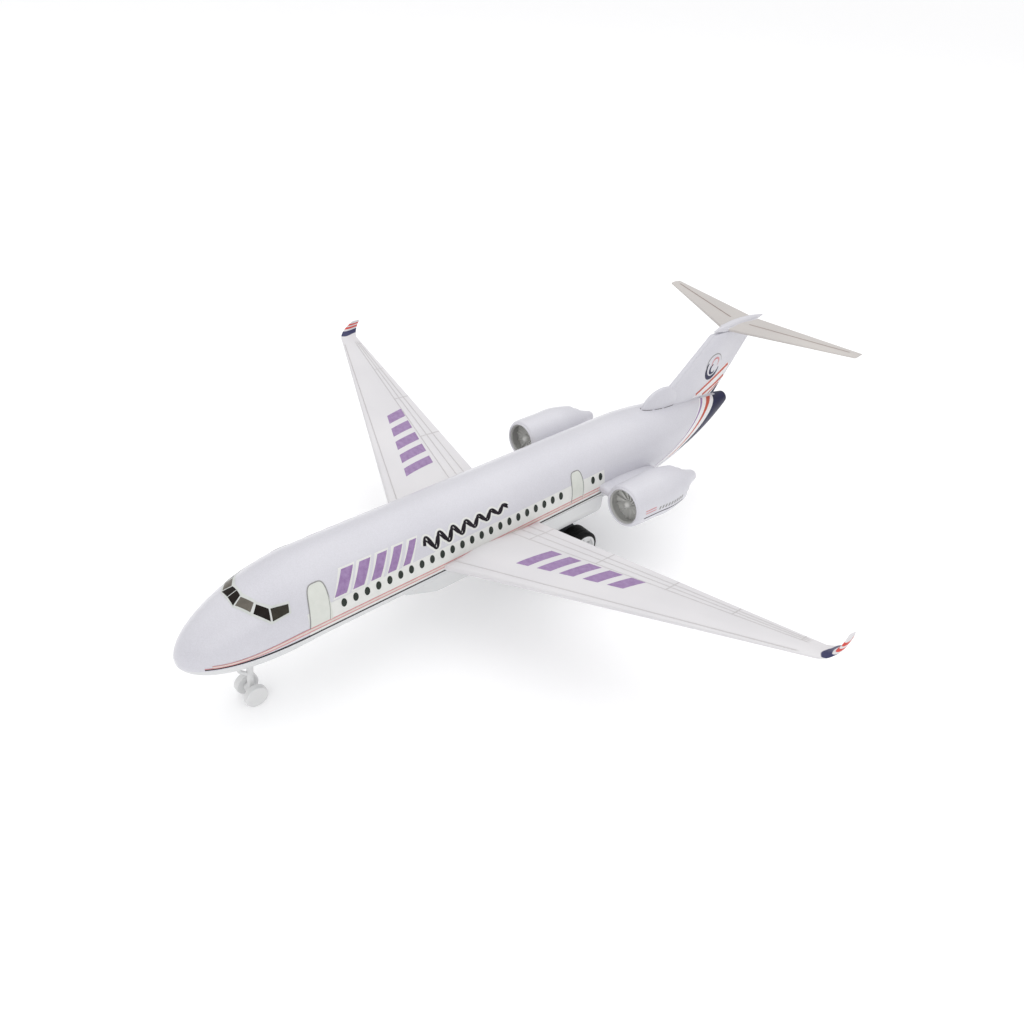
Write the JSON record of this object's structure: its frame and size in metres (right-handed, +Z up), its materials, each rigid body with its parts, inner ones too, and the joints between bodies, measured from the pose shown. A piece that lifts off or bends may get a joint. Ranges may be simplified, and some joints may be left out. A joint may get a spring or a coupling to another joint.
{
  "type": "toy airplane",
  "caption": "Toy twin-jet T-tail airliner that rolls on a friction flywheel drive, with plug-in wings and rear engines.",
  "frame": {"origin": "centre of the aeroplane's footprint on the floor it stands on", "axes": "+Z up, the nose points along -Y, the port (left) wing along +X"},
  "size_m": [0.4022, 0.4296, 0.1179],
  "materials": {
    "upper_shell_plastic": "pearl white injection-moulded ABS, printed livery",
    "lower_shell_plastic": "white injection-moulded ABS",
    "wing_plastic": "white injection-moulded ABS, satin",
    "engine_plastic": "pearl white ABS, glossy",
    "fan_plastic": "grey ABS",
    "gear_leg_plastic": "white ABS",
    "tyre_rubber": "black soft PVC",
    "motor_case_plastic": "white ABS",
    "gear_plastic": "natural acetal",
    "shaft_steel": "plain steel rod",
    "flywheel_steel": "turned steel",
    "screw_steel": "zinc-plated self-tapping screws"
  },
  "bodies": {
    "airframe": {"engine_fan_port": "fan_plastic", "engine_fan_starboard": "fan_plastic", "engine_nacelle_port": "engine_plastic", "engine_nacelle_starboard": "engine_plastic", "exhaust_nozzle_port": "engine_plastic", "exhaust_nozzle_starboard": "engine_plastic", "fuselage_lower_shell": "lower_shell_plastic", "fuselage_screws": "screw_steel", "fuselage_upper_shell": "upper_shell_plastic", "motor_case_port": "motor_case_plastic", "motor_case_screws": "screw_steel", "motor_case_starboard": "motor_case_plastic", "motor_mount_screws": "screw_steel", "nose_gear_strut": "gear_leg_plastic", "tail_fin": "upper_shell_plastic", "tailplane": "wing_plastic", "wing_port": "wing_plastic", "wing_starboard": "wing_plastic"},
    "drive_axle": {"main_axle": "shaft_steel", "axle_gear": "gear_plastic", "main_tyre_port": "tyre_rubber", "main_tyre_starboard": "tyre_rubber", "main_hub_port": "gear_leg_plastic", "main_hub_starboard": "gear_leg_plastic"},
    "idler": {"idler_gear": "gear_plastic", "idler_shaft": "shaft_steel"},
    "flywheel": {"flywheel": "flywheel_steel", "flywheel_pinion": "gear_plastic", "flywheel_shaft": "shaft_steel"},
    "nose_wheels": {"nose_axle": "shaft_steel", "nose_wheel_port": "gear_leg_plastic", "nose_wheel_starboard": "gear_leg_plastic"}
  },
  "joints": [
    {"name": "drive_axle_spin", "type": "hinge", "parent": "airframe", "child": "drive_axle", "pos_m": [0, 0.026, 0.012], "axis": [1, 0, 0], "continuous": true},
    {"name": "idler_spin", "type": "hinge", "parent": "airframe", "child": "idler", "pos_m": [0, 0.01941, 0.01959], "axis": [1, 0, 0], "continuous": true},
    {"name": "flywheel_spin", "type": "hinge", "parent": "airframe", "child": "flywheel", "pos_m": [0, 0.01004, 0.02544], "axis": [1, 0, 0], "continuous": true},
    {"name": "nose_wheel_spin", "type": "hinge", "parent": "airframe", "child": "nose_wheels", "pos_m": [0, -0.1834, 0.006], "axis": [1, 0, 0], "continuous": true}
  ],
  "couplings": [
    {"joint": "idler_spin", "follows": "drive_axle_spin", "ratio": -2.3333},
    {"joint": "flywheel_spin", "follows": "drive_axle_spin", "ratio": 6.2222}
  ]
}
